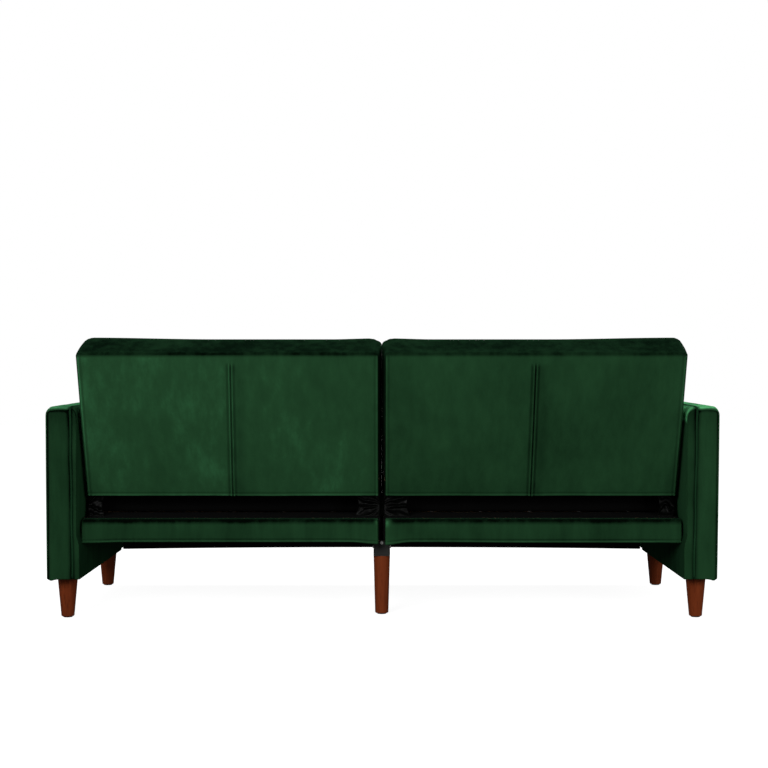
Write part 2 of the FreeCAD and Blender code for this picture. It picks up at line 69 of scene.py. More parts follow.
# ------------------------
# Sizes in metres, in the CAD frame: +X is the sitter's left, -Y the front, +Z up.
# A back half is built upright, rear face on Y = 0 and foot on Z = 0, and then leans back.
# ------------------------
RECLINE = math.radians(21)
HINGE_INSET = 0.028
BACK_THICK = 0.140
BACK_HEIGHT = 0.481
PIVOT = Vector(frame["joints"][0]["pos_m"])
UP_BACK = Vector((0, math.sin(RECLINE), math.cos(RECLINE)))
FRONT_OF_BACK = Vector((0, -math.cos(RECLINE), math.sin(RECLINE)))
BACK_FOOT = PIVOT - HINGE_INSET * UP_BACK - (BACK_THICK - HINGE_INSET) * FRONT_OF_BACK
SIDES = {"left": 1, "right": -1}

ARM_ROUND = 0.013
ARM_FACE_SHIFT = {"left": (-0.006, -0.003), "right": (-0.0035, 0.0025)}
ARM_SEAM_SHIFT = {"left": (-0.0195, -0.013), "right": (-0.0095, -0.0005)}
ARM_FRONT_LIFT = {"left": 0.004, "right": 0.006}
ARM_REAR_DROP = 0.006
BACK_CORNER = {"left": 0.022, "right": 0.011}
SEAT_STEP = 0.0105
SEAM_SINK = 0.013
TUFT_COLUMNS = 4
TUFT_ROWS = 2
CLOTH_FRAMES = 20
CLOTH_SLACK = 0.02
TOUCH = 1e-6


# ------------------------
# Materials
# ------------------------
class Nodes:
    """A material's node tree with a short way to add and join nodes."""

    def __init__(self, name):
        self.material = bpy.data.materials.new(name)
        self.material.use_nodes = True
        self.tree = self.material.node_tree
        self.shader = self.tree.nodes["Principled BSDF"]
        self.place = self.add("ShaderNodeTexCoord").outputs["Object"]

    def add(self, kind, **values):
        made = self.tree.nodes.new(kind)
        for key, value in values.items():
            if hasattr(made, key):
                setattr(made, key, value)
            else:
                made.inputs[key.replace("_", " ")].default_value = value
        return made

    def join(self, source, target):
        self.tree.links.new(source, target)

    def stretched(self, scale):
        mapping = self.add("ShaderNodeMapping")
        mapping.inputs["Scale"].default_value = scale
        self.join(self.place, mapping.inputs["Vector"])
        return mapping.outputs["Vector"]

    def noise(self, scale, detail=3.0, roughness=0.5, vector=None, distortion=0.0):
        noise = self.add("ShaderNodeTexNoise", Scale=scale, Detail=detail,
                         Roughness=roughness, Distortion=distortion)
        self.join(vector or self.place, noise.inputs["Vector"])
        return noise.outputs["Fac"]

    def ramp(self, factor, stops):
        ramp = self.add("ShaderNodeValToRGB")
        while len(ramp.color_ramp.elements) < len(stops):
            ramp.color_ramp.elements.new(0.5)
        for element, (position, color) in zip(ramp.color_ramp.elements, stops):
            element.position = position
            element.color = (*color, 1)
        self.join(factor, ramp.inputs["Fac"])
        return ramp.outputs["Color"]

    def levels(self, factor, low, high, to_low=0.0, to_high=1.0):
        levels = self.add("ShaderNodeMapRange")
        for key, value in (("From Min", low), ("From Max", high),
                           ("To Min", to_low), ("To Max", to_high)):
            levels.inputs[key].default_value = value
        self.join(factor, levels.inputs["Value"])
        return levels.outputs["Result"]

    def math(self, operation, first, second):
        made = self.add("ShaderNodeMath", operation=operation)
        for number, value in enumerate((first, second)):
            if isinstance(value, (int, float)):
                made.inputs[number].default_value = value
            else:
                self.join(value, made.inputs[number])
        return made.outputs["Value"]

    def multiplied(self, amount, first, second):
        made = self.add("ShaderNodeMix", data_type="RGBA", blend_type="MULTIPLY")
        factor, color_a, color_b = (made.inputs[number] for number in (0, 6, 7))
        factor.default_value = amount
        self.join(first, color_a)
        self.join(second, color_b)
        return made.outputs[2]

    def bump(self, height, strength, distance, after=None):
        bump = self.add("ShaderNodeBump", Strength=strength, Distance=distance)
        self.join(height, bump.inputs["Height"])
        if after is not None:
            self.join(after, bump.inputs["Normal"])
        return bump.outputs["Normal"]

    def finish(self, color, normal=None, roughness=None, **shader):
        self.join(color, self.shader.inputs["Base Color"])
        if normal is not None:
            self.join(normal, self.shader.inputs["Normal"])
        if roughness is not None:
            self.join(roughness, self.shader.inputs["Roughness"])
        for key, value in shader.items():
            self.shader.inputs[key.replace("_", " ")].default_value = value
        return self.material


def velvet(name, dark, low, base, light, bright, sheen=0.05):
    """Short cut pile: broad brushed patches, a fine upright streak, fibre grain and soft sheen.

    A point attribute on the mesh paints light and shade into the colour, with a little random tone:
    0 is painted deep shade, 0.5 plain, 1 a painted highlight.
    """
    n = Nodes(name)
    tone_and_painted_light = n.add("ShaderNodeAttribute", attribute_name="tone_and_painted_light").outputs["Fac"]
    patches = n.levels(n.noise(3.2, 4, 0.55, distortion=0.6), 0.34, 0.68, -0.06, 0.06)
    streaks = n.levels(n.noise(7, 5, 0.62, n.stretched((5, 5, 0.9))), 0.3, 0.7, -0.06, 0.06)
    pile = n.noise(1500, 2, 0.6)
    grain = n.levels(pile, 0.3, 0.7, -0.06, 0.06)
    # painted light and shade from the mesh attribute, plus the fabric's own patches, streaks and
    # grain
    shade = n.math("ADD", n.math("ADD", tone_and_painted_light, patches), n.math("ADD", streaks, grain))
    color = n.ramp(shade, [(0.0, dark), (0.1, low), (0.5, base), (0.85, light), (1.0, bright)])
    crush = n.noise(46, 4, 0.6, n.stretched((1, 1, 0.55)))
    normal = n.bump(crush, 0.16, 0.0022)
    normal = n.bump(pile, 0.22, 0.0004, normal)
    roughness = n.levels(pile, 0.2, 0.8, 0.72, 0.9)
    return n.finish(color, normal, roughness, Sheen_Weight=sheen, Sheen_Roughness=0.42,
                    Sheen_Tint=(0.16, 0.55, 0.27, 1), Specular_IOR_Level=0.0)


def nonwoven(name, base, light):
    """Thin spun black cloth with pressed dots and faint wrinkles."""
    n = Nodes(name)
    fibres = n.noise(900, 3, 0.7, n.stretched((1, 0.35, 1)))
    dots = n.add("ShaderNodeTexVoronoi", Scale=420.0)
    n.join(n.place, dots.inputs["Vector"])
    wrinkles = n.noise(18, 4, 0.6, distortion=0.8)
    color = n.ramp(fibres, [(0.3, base), (0.75, light)])
    normal = n.bump(wrinkles, 0.25, 0.003)
    normal = n.bump(dots.outputs["Distance"], 0.3, 0.0004, normal)
    return n.finish(color, normal, n.levels(fibres, 0.3, 0.7, 0.75, 0.92),
                    Specular_IOR_Level=0.1)


def satin_lining(name):
    """Black woven lining that shines along its folds."""
    n = Nodes(name)
    threads = n.noise(1400, 2, 0.5, n.stretched((1, 1, 0.12)))
    folds = n.noise(60, 3, 0.5)
    color = n.ramp(threads, [(0.3, (0.0002, 0.0003, 0.0002)), (0.8, (0.0008, 0.0011, 0.0008))])
    normal = n.bump(folds, 0.2, 0.002)
    normal = n.bump(threads, 0.15, 0.0003, normal)
    return n.finish(color, normal, n.levels(folds, 0.3, 0.7, 0.34, 0.5),
                    Specular_IOR_Level=0.06)


def wood(name, dark, base, light, scale, gloss, polish):
    """Straight-grained wood along Z, with growth bands, pores and a sealed surface."""
    n = Nodes(name)
    drift = n.noise(5 * scale, 3, 0.5, n.stretched((1, 1, 0.12)), 0.4)
    bands = n.noise(40 * scale, 4, 0.65, n.stretched((1, 1, 0.05)), 0.8)
    pores = n.noise(260 * scale, 3, 0.7, n.stretched((1, 1, 0.04)))
    figure = n.math("ADD", n.math("MULTIPLY", drift, 0.45), n.math("MULTIPLY", bands, 0.55))
    color = n.ramp(figure, [(0.3, dark), (0.5, base), (0.72, light)])
    pitted = n.ramp(pores, [(0.34, (0.35, 0.3, 0.3)), (0.46, (1, 1, 1))])
    color = n.multiplied(0.55, color, pitted)
    normal = n.bump(pores, 0.12, 0.0005)
    roughness = n.levels(bands, 0.3, 0.7, gloss, gloss + 0.14)
    return n.finish(color, normal, roughness, Specular_IOR_Level=polish)


def metal(name, dark, light, gloss, metallic=1.0, grain=300, polish=0.5):
    """Plated or powder-coated metal with a fine grain and faint handling marks."""
    n = Nodes(name)
    speckle = n.noise(grain, 3, 0.6)
    marks = n.noise(35, 4, 0.65)
    color = n.ramp(marks, [(0.3, dark), (0.7, light)])
    normal = n.bump(speckle, 0.1, 0.0003)
    roughness = n.levels(marks, 0.3, 0.7, gloss, gloss + 0.16)
    return n.finish(color, normal, roughness, Metallic=metallic, Specular_IOR_Level=polish)


def plastic(name, dark, light):
    n = Nodes(name)
    mottle = n.noise(120, 3, 0.6)
    color = n.ramp(mottle, [(0.3, dark), (0.7, light)])
    return n.finish(color, n.bump(mottle, 0.1, 0.0003), n.levels(mottle, 0.3, 0.7, 0.5, 0.65))


def webbing(name):
    """Woven elastic strap: a fine basket of light and dark threads."""
    n = Nodes(name)
    across = n.add("ShaderNodeTexWave", Scale=160.0, bands_direction="X")
    along = n.add("ShaderNodeTexWave", Scale=160.0, bands_direction="Z")
    for wave in (across, along):
        n.join(n.place, wave.inputs["Vector"])
    weave = n.math("MULTIPLY", across.outputs["Fac"], along.outputs["Fac"])
    color = n.ramp(weave, [(0.1, (0.02, 0.02, 0.02)), (0.9, (0.09, 0.09, 0.08))])
    return n.finish(color, n.bump(weave, 0.4, 0.0006), Roughness=0.85)


# the darkest velvet colour, reached only where painted deep shade is set; the velvet's low stop is
# painted shade too, and its light and bright stops are painted highlights
PAINTED_SHADE_GREEN = (0.0004, 0.0016, 0.0007)
VELVET = velvet("velvet", PAINTED_SHADE_GREEN, (0.0048, 0.0178, 0.0072), (0.0162, 0.0608, 0.0235),
                (0.044, 0.190, 0.077), (0.125, 0.520, 0.200))
PIPING = velvet("velvet_piping", PAINTED_SHADE_GREEN, (0.0026, 0.0108, 0.0045), (0.0080, 0.0340, 0.0135),
                (0.026, 0.100, 0.042), (0.060, 0.220, 0.090), 0.04)
BLACK_CLOTH = nonwoven("black_nonwoven", (0.0006, 0.0006, 0.0006), (0.0022, 0.0022, 0.0022))
LINING = satin_lining("hinge_lining")
LEG_WOOD = wood("leg_wood", (0.062, 0.0105, 0.0028), (0.140, 0.0260, 0.0066),
                (0.200, 0.041, 0.0105), 1.0, 0.42, 0.06)
FRAME_WOOD = wood("frame_wood", (0.24, 0.14, 0.065), (0.42, 0.27, 0.14), (0.55, 0.38, 0.22),
                  0.6, 0.6, 0.3)
BLACK_METAL = metal("black_metal", (0.0055, 0.0058, 0.0048), (0.0115, 0.0120, 0.0100), 0.45, 0.0,
                    900, 0.3)
# a darker, duller copy of the black metal for the hinge plates: painted shade
SHADED_PLATE_METAL = metal("shaded_plate_metal", (0.0006, 0.0006, 0.0006), (0.0012, 0.0012, 0.0012), 0.6, 0.0,
                    900, 0.05)
ZINC = metal("zinc_steel", (0.50, 0.50, 0.48), (0.80, 0.80, 0.78), 0.30, 0.35)
SPRING_STEEL = metal("spring_wire", (0.14, 0.135, 0.13), (0.3, 0.29, 0.28), 0.34)
GLIDE = plastic("glide_plastic", (0.008, 0.008, 0.008), (0.02, 0.02, 0.02))
WEBBING = webbing("webbing")

CAD_MATERIALS = {
    "leg_wood": LEG_WOOD,
    "frame_wood": FRAME_WOOD,
    "black_metal": BLACK_METAL,
    "zinc_steel": ZINC,
    "spring_wire": SPRING_STEEL,
    "glide_plastic": GLIDE,
    "webbing": WEBBING,
    "velvet": VELVET,
    "velvet_piping": PIPING,
    "black_nonwoven": BLACK_CLOTH,
}
for part in frame["record"]["subparts"]:
    node = frame["nodes"][part["node"]]
    node.data.materials.clear()
    # hinge plates sit in the shaded gap and take the darker copy: painted shade
    in_shadow = part["node"].endswith(("back_plate", "seat_plate"))
    node.data.materials.append(SHADED_PLATE_METAL if in_shadow else CAD_MATERIALS[part["material_slot"]])


# ------------------------
# Mesh helpers
# ------------------------
def share_of(values, low, high):
    """How far each value is on the way from low to high, from 0 to 1."""
    return ((values - low) / (high - low)).clip(0, 1)


def rise_of(points, low, high):
    """How high each point is between two corners of a box, from 0 to 1."""
    return share_of(points[:, 2], low.z, high.z)


def by_side(side, left, right):
    return left if side == 1 else right


def tapered(ends, rise):
    """A value that changes evenly from the foot to the top."""
    return ends[0] + (ends[1] - ends[0]) * rise


def spread(low, high, step, fine=()):
    """Coordinates from low to high about step apart, closer near each (place, reach, step)."""
    marks = [low]
    while marks[-1] < high - 1e-9:
        here = marks[-1]
        size = step
        for place, reach, small in fine:
            distance = max(0.0, abs(here + small / 2 - place) - reach)
            size = min(size, small + distance * 0.35)
        marks.append(min(high, here + size))
    if len(marks) > 2 and marks[-1] - marks[-2] < 0.3 * (marks[-2] - marks[-3]):
        del marks[-2]
    return np.array(marks)


def shell(xs, ys, zs):
    """The closed skin of a box, as quads between the given coordinates."""
    axes = (xs, ys, zs)
    counts = [len(a) for a in axes]
    index, points, faces = {}, [], []

    def vertex(i, j, k):
        key = (i, j, k)
        if key not in index:
            index[key] = len(points)
            points.append((xs[i], ys[j], zs[k]))
        return index[key]

    for axis in range(3):
        first, second = [(1, 2), (2, 0), (0, 1)][axis]
        for end in (0, counts[axis] - 1):
            for a in range(counts[first] - 1):
                for b in range(counts[second] - 1):
                    ring = [(a, b), (a + 1, b), (a + 1, b + 1), (a, b + 1)]
                    if end == 0:
                        ring.reverse()
                    corners = []
                    for p, q in ring:
                        at = [0, 0, 0]
                        at[axis], at[first], at[second] = end, p, q
                        corners.append(vertex(*at))
                    faces.append(corners)
    return np.array(points), faces


def rounded(points, radii_low, radii_high):
    """Rounds a box skin's edges. The radii along X, Y and Z may differ at the low and high ends."""
    low, high = points.min(0), points.max(0)
    radii_low, radii_high = np.array(radii_low), np.array(radii_high)
    core = np.clip(points, low + radii_low, high - radii_high)
    offset = points - core
    radii = np.where(offset < 0, radii_low, radii_high)
    ratio = offset / np.maximum(radii, 1e-9)
    length = np.linalg.norm(ratio, axis=1)
    largest = np.abs(ratio).max(axis=1)
    scale = np.where(length > 1e-9, largest / np.maximum(length, 1e-9), 1.0)
    return core + offset * scale[:, None]


def bell(distance, width):
    return np.exp(-((distance / width) ** 2))


def smooth(value, low, high):
    t = np.clip((value - low) / (high - low), 0, 1)
    return t * t * (3 - 2 * t)


def ripple(points, wave, seed):
    """A smooth, repeatable unevenness between about -1 and 1."""
    random = np.random.default_rng(seed)
    total = np.zeros(len(points))
    for octave in (1.0, 1.9, 3.1):
        for _ in range(3):
            heading = random.normal(size=3)
            heading /= np.linalg.norm(heading)
            phase = random.uniform(0, math.tau)
            total += np.sin(points @ heading * math.tau * octave / wave + phase) / octave
    return total / 4.2


def leaning(points):
    """Upright back-half coordinates, turned and moved to their place on the sofa."""
    cos, sin = math.cos(RECLINE), math.sin(RECLINE)
    placed = points.copy()
    placed[:, 1] = BACK_FOOT.y + points[:, 1] * cos + points[:, 2] * sin
    placed[:, 2] = BACK_FOOT.z - points[:, 1] * sin + points[:, 2] * cos
    return placed


def mirrored(points, faces, side):
    """The same mesh for the sitter's left (side 1) or right (side -1)."""
    if side == 1:
        return points, faces
    flipped = points.copy()
    flipped[:, 0] *= -1
    return flipped, [face[::-1] for face in faces]


def piece(name, points, faces, material, body, tone_and_painted_light=None, lined=None):
    """A smooth mesh object that rides on a body. Its lined faces are black cloth."""
    mesh = bpy.data.meshes.new(name)
    mesh.from_pydata(points.tolist(), [], faces)
    mesh.materials.append(material)
    if lined is not None:
        mesh.materials.append(BLACK_CLOTH)
        mesh.polygons.foreach_set("material_index", np.array(lined, np.int32))
    mesh.polygons.foreach_set("use_smooth", [True] * len(faces))
    # the per-point attribute holds painted light and shade, with a little random tone, for the
    # velvet colour
    if tone_and_painted_light is not None:
        attribute = mesh.attributes.new("tone_and_painted_light", "FLOAT", "POINT")
        attribute.data.foreach_set("value", np.asarray(tone_and_painted_light, np.float32))
    mesh.validate()
    mesh.update()
    made = bpy.data.objects.new(name, mesh)
    bpy.context.scene.collection.objects.link(made)
    if body:
        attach(made, body)
    return made


def pad(side_name, name, node_name, points, faces, tone_and_painted_light, body="base", lined=None):
    """A velvet-covered pad on its side of the sofa, which stands for one CAD node."""
    points, faces = mirrored(points, faces, SIDES[side_name])
    made = piece(f"{side_name}_{name}", points, faces, VELVET, body, tone_and_painted_light, lined)
    modifier = made.modifiers.new("Subdivision", "SUBSURF")
    modifier.levels = modifier.render_levels = 1
    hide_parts(f"{side_name}_{node_name}")


def turned_away(flat, faces, low, high):
    """Which faces of a box skin look back or down, where black cloth covers them."""
    centres = flat[np.array(faces)].mean(axis=1)
    return (centres[:, 1] > high.y - TOUCH) | (centres[:, 2] < low.z + TOUCH)


def edge_distance(first, second, low, high):
    """How far points on a rectangle are from its nearest edge."""
    return np.minimum.reduce([first - low[0], high[0] - first, second - low[1], high[1] - second])


def sheet_faces(columns, rows, turned=False):
    """The faces of a thin sheet: two layers of columns by rows points, joined round the border."""
    count = columns * rows
    faces = []
    for j in range(rows - 1):
        for i in range(columns - 1):
            a = j * columns + i
            quad = [a, a + 1, a + columns + 1, a + columns]
            if turned:
                quad = [quad[0], *quad[:0:-1]]
            faces += [quad, [v + count for v in reversed(quad)]]
    border = [*range(columns), *range(2 * columns - 1, count, columns),
              *range(count - 2, count - columns - 1, -1), *range(count - 2 * columns, 0, -columns)]
    for a, b in zip(border, border[1:] + border[:1]):
        if turned:
            a, b = b, a
        faces.append([b, a, a + count, b + count])
    return faces


def tube(path, radius, sides=10):
    """A round cord along a closed loop of points."""
    count = len(path)
    ahead = np.roll(path, -1, 0) - path
    behind = path - np.roll(path, 1, 0)
    tangents = ahead / np.linalg.norm(ahead, axis=1)[:, None]
    tangents += behind / np.linalg.norm(behind, axis=1)[:, None]
    tangents /= np.linalg.norm(tangents, axis=1)[:, None]
    normal = np.cross(tangents[0], (0.31, 0.52, 0.79))
    normal /= np.linalg.norm(normal)
    angles = np.arange(sides) * math.tau / sides
    rings = []
    for i in range(count):
        normal = normal - tangents[i] * (normal @ tangents[i])
        normal /= np.linalg.norm(normal)
        other = np.cross(tangents[i], normal)
        rings.append(path[i] + radius * (np.outer(np.cos(angles), normal)
                                         + np.outer(np.sin(angles), other)))
    closing = int(np.linalg.norm(rings[0] - rings[-1][0], axis=1).argmin())
    faces = []
    for i in range(count):
        here, there = i * sides, ((i + 1) % count) * sides
        turn = closing if i == count - 1 else 0
        for k in range(sides):
            faces.append([here + k, here + (k + 1) % sides,
                          there + (k + 1 + turn) % sides, there + (k + turn) % sides])
    return np.concatenate(rings), faces


def rounded_loop(low, high, radii):
    """Points round a rectangle whose corners have the given radii, in two coordinates."""
    corners = [(high[0], high[1]), (low[0], high[1]), (low[0], low[1]), (high[0], low[1])]
    loop = []
    arc_points, step = 7, 0.012
    for quarter, ((x, y), radius) in enumerate(zip(corners, radii)):
        cx = x - radius if x == high[0] else x + radius
        cy = y - radius if y == high[1] else y + radius
        for i in range(arc_points):
            angle = math.pi / 2 * (quarter + i / (arc_points - 1))
            loop.append((cx + radius * math.cos(angle), cy + radius * math.sin(angle)))
    filled = []
    for here, there in zip(loop, loop[1:] + loop[:1]):
        gap = math.dist(here, there)
        parts = max(1, round(gap / step))
        for i in range(parts):
            t = i / parts
            filled.append((here[0] + (there[0] - here[0]) * t, here[1] + (there[1] - here[1]) * t))
    return np.array(filled)


# ------------------------
# Cloth
# ------------------------
def inflated(points, faces, pinned, cap, pressure=4.5):
    """The skin after air pressure has filled it for a moment. Pinned points stay."""
    mesh = bpy.data.meshes.new("cloth")
    mesh.from_pydata(points.tolist(), [], faces)
    cover = bpy.data.objects.new("cloth", mesh)
    scene = bpy.context.scene
    scene.collection.objects.link(cover)
    held = cover.vertex_groups.new(name="held")
    held.add(np.flatnonzero(pinned).tolist(), 1.0, "REPLACE")
    cloth = cover.modifiers.new("Cloth", "CLOTH")
    settings = cloth.settings
    settings.vertex_group_mass = "held"
    settings.quality = 5
    settings.mass = 0.25
    settings.tension_stiffness = 18
    settings.compression_stiffness = 18
    settings.shear_stiffness = 6
    settings.bending_stiffness = 0.35
    settings.use_pressure = True
    settings.uniform_pressure_force = pressure
    settings.shrink_min = -CLOTH_SLACK
    settings.effector_weights.gravity = 0
    cloth.collision_settings.use_collision = False
    cloth.collision_settings.use_self_collision = False
    cloth.point_cache.frame_end = CLOTH_FRAMES
    for number in range(1, CLOTH_FRAMES + 1):
        scene.frame_set(number)
    shown = cover.evaluated_get(bpy.context.evaluated_depsgraph_get())
    moved = np.empty(len(points) * 3, np.float32)
    shown.data.vertices.foreach_get("co", moved)
    moved = moved.reshape(-1, 3).astype(float)
    scene.frame_set(1)
    bpy.data.objects.remove(cover)
    bpy.data.meshes.remove(mesh)
    shift = moved - points
    length = np.linalg.norm(shift, axis=1)
    shift *= (np.minimum(length, cap) / np.maximum(length, 1e-9))[:, None]
    return points + shift


def seam_lines(low, high, parts):
    return [low + (high - low) * i / parts for i in range(1, parts)]


def nearest_seam(values, lines):
    return np.min([np.abs(values - line) for line in lines], axis=0)


def tufting(to_column, to_row, edge):
    """Each point's distance to a stitched seam, and how far the stitches pull it in."""
    to_seam = np.minimum(to_column, to_row)
    sink = SEAM_SINK * bell(to_seam, 0.011) + 0.008 * bell(np.hypot(to_column, to_row), 0.02)
    return to_seam, sink * smooth(edge, 0.0, 0.05)


# ------------------------
# Arms
# ------------------------
def arm_lift(side_name, reach):
    """How much the arm's top stands above the CAD's from rear to front."""
    return ARM_FRONT_LIFT[side_name] * (1 - reach) - ARM_REAR_DROP * smooth(reach, 0.97, 1.0)


def arm_end_shape(points, flat, crown, wave, low, high, proud=0.0022):
    """Pads the rear, front and top of an arm slab, and returns which points those are."""
    rear = flat[:, 1] > high.y - TOUCH
    front = flat[:, 1] < low.y + TOUCH
    top = flat[:, 2] > high.z - TOUCH
    points[rear, 1] += (proud * crown + 0.0010 * wave)[rear]
    points[front, 1] -= (proud * crown + 0.0010 * wave)[front]
    points[top, 2] += 0.0010 * wave[top]
    return rear, front, top


def arm(side_name):
    side = SIDES[side_name]
    low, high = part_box("left_arm_outer_pad")
    low_in, high_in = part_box("left_arm_inner_pad")
    seam_x = (high_in.x + low.x) / 2
    fine_y = [(low.y, 0.012, 0.003), (high.y, 0.012, 0.003)]
    fine_z = [(low.z, 0.010, 0.0025), (high.z, 0.014, 0.003)]
    ys = spread(low.y, high.y, 0.016, fine_y)
    zs = spread(low.z, high.z, 0.016, fine_z)
    seed = by_side(side, 11, 17)

    # outer pad, with a stitched groove just inside its outer edge on the top, front and rear
    xs = spread(low.x - 0.001, high.x, 0.007, [(high.x - 0.006, 0.005, 0.0013),
                                               (low.x, 0.004, 0.002)])
    points, faces = shell(xs, ys, zs)
    flat = points.copy()
    rise = rise_of(flat, low, high)
    outer_round = 0.011 + 0.005 * rise
    points = rounded(points, (0.004, 0.010, 0.003),
                     np.column_stack([outer_round, outer_round * 0 + 0.010,
                                      0.013 + 0.007 * smooth(flat[:, 0], low.x, high.x)]))
    reach = share_of(flat[:, 1], low.y, high.y)
    swell = (1 - (2 * rise - 1) ** 2) ** 0.5 * (1 - (2 * reach - 1) ** 2) ** 0.5
    on_side = flat[:, 0] > high.x - TOUCH
    points[on_side, 0] += 0.0025 * swell[on_side]
    across = share_of(flat[:, 0], low.x, high.x)
    crown = np.sin(across * math.pi) ** 0.7
    rear, front, top = arm_end_shape(points, flat, crown, ripple(flat, 0.19, seed), low, high)
    points[:, 2] += (0.0085 * (0.6 + 0.4 * crown) + arm_lift(side_name, reach)) * rise ** 6
    groove = bell(flat[:, 0] - (high.x - 0.0060), 0.0016)
    points[rear, 1] -= 0.0026 * groove[rear]
    points[front, 1] += 0.0026 * groove[front]
    points[top, 2] -= 0.0022 * groove[top]
    tugged = bell(flat[:, 0] - (high.x - 0.012), 0.009) * (bell(flat[:, 1] - high.y, 0.012)
                                                           + bell(flat[:, 1] - low.y, 0.012))
    points[:, 2] -= 0.0042 * tugged * smooth(-flat[:, 2], -low.z - 0.014, -low.z)
    points[:, 0] += tapered(ARM_FACE_SHIFT[side_name], rise) * across
    points[:, 0] += tapered(ARM_SEAM_SHIFT[side_name], rise) * (1 - across)
    to_seam = flat[:, 0] - low.x
    ends = rear | front
    # painted light and shade on the outer pad: the two arms start from different levels as the
    # light fell, the rear and front faces darken towards the top with painted dark lines in the
    # outer groove and at the seam, the outer side face is painted lighter, and the top is a painted
    # highlight with painted dark lines at the seam and rear edge
    tone_and_painted_light = np.full(len(points), by_side(side, 0.235, 0.305))
    tone_and_painted_light += 0.04 * ripple(flat * (1, 1, 0.5), 0.30, seed + 30)
    tone_and_painted_light += (0.03 - 0.12 * smooth(rise, 0.80, 1.0)) * ends
    tone_and_painted_light -= 0.30 * bell(flat[:, 0] - (high.x - 0.0050), 0.0045) * ends
    tone_and_painted_light -= 0.24 * bell(to_seam, 0.0065) * ends
    tone_and_painted_light -= 0.20 * smooth(flat[:, 2], high.z - 0.016, high.z - 0.004) * ends
    tone_and_painted_light[on_side] = 0.42 + 0.06 * ripple(flat * (1, 1, 0.4), 0.35, seed + 50)[on_side]
    painted_highlight = by_side(side, 0.80, 0.97)
    tone_and_painted_light[top] = (painted_highlight + 0.08 * ripple(flat, 0.09, seed + 40) - 0.5 * bell(to_seam, 0.006))[top]
    tone_and_painted_light[top] -= 0.6 * bell(high.y - flat[:, 1], 0.005)[top]
    pad(side_name, "arm_outer", "arm_outer_pad", points, faces, tone_and_painted_light)

    # inner pad, whose top falls away in an arch towards the seat
    xs = spread(low_in.x, high_in.x + 0.001, 0.005, [(high_in.x, 0.003, 0.002),
                                                    (low_in.x, 0.004, 0.002)])
    points, faces = shell(xs, ys, zs)
    flat = points.copy()
    points = rounded(points, (0.004, 0.007, 0.003), (0.004, 0.007, 0.006))
    across = share_of(flat[:, 0], low_in.x, high_in.x)
    rise = rise_of(flat, low_in, high_in)
    reach = share_of(flat[:, 1], low_in.y, high_in.y)
    crown = np.sin(across * math.pi) ** 0.8
    wave = ripple(flat, 0.17, seed + 12)
    rear, front, top = arm_end_shape(points, flat, crown, wave, low_in, high_in, 0.0016)
    arch = 1 - np.sqrt(1 - (1 - across) ** 2.0)
    points[:, 2] -= 0.040 * arch * smooth(rise, 0.84, 1.0)
    points[:, 2] += (0.0075 + arm_lift(side_name, reach)) * rise ** 6
    inner_face = flat[:, 0] < low_in.x + TOUCH
    points[inner_face, 0] += 0.0012 + 0.0009 * wave[inner_face]
    fuller = smooth(-flat[:, 2], -0.252, -0.236) * smooth(flat[:, 1], -0.385, -0.355)
    points[:, 0] -= 0.009 * fuller * (1 - across)
    points[:, 0] += tapered(ARM_SEAM_SHIFT[side_name], rise) * across
    ends = rear | front
    # painted light and shade on the inner pad: painted dark lines at the seam and darker rear and
    # front faces towards the top, the inner face painted dark low down where the rail shades it,
    # and the top and its arch a painted highlight with painted dark lines at the seam and rear edge
    tone_and_painted_light = np.full(len(points), 0.24)
    tone_and_painted_light += 0.04 * wave
    tone_and_painted_light -= 0.24 * bell(flat[:, 0] - high_in.x, 0.0065) * ends
    tone_and_painted_light -= 0.10 * smooth(flat[:, 2], high_in.z - 0.10, high_in.z) * ends
    tone_and_painted_light[inner_face] = 0.13 + 0.24 * smooth(flat[inner_face, 2], 0.235, 0.30)
    painted_highlight = by_side(side, 0.48, 0.90)
    over = smooth(flat[:, 2], high_in.z - 0.012, high_in.z - 0.001) * (1 - ends)
    tone_and_painted_light += (painted_highlight + 0.08 * wave - tone_and_painted_light) * over
    tone_and_painted_light -= (0.5 * bell(flat[:, 0] - high_in.x, 0.005)
            + 0.7 * bell(high_in.y - flat[:, 1], 0.006)) * over
    pad(side_name, "arm_inner", "arm_inner_pad", points, faces, tone_and_painted_light)

    # piping round the seam between the two pads
    bead = 0.0033
    loop = rounded_loop((low.y, low.z + bead), (high.y, high.z), [ARM_ROUND] * 4)
    path = np.column_stack([np.full(len(loop), seam_x), loop])
    path[:, 0] += 0.0008 * np.sin(np.arange(len(loop)) * 0.37)
    rise, reach = rise_of(path, low, high), (path[:, 1] - low.y) / (high.y - low.y)
    path[:, 0] += tapered(ARM_SEAM_SHIFT[side_name], rise)
    path[:, 2] += (0.0055 + arm_lift(side_name, reach)) * rise ** 6
    points, faces = tube(path, bead)
    points, faces = mirrored(points, faces, side)
    bead_piece = piece(f"{side_name}_arm_bead", points, faces, PIPING, "base",
                       np.full(len(points), 0.40))
    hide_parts(f"{side_name}_arm_piping")


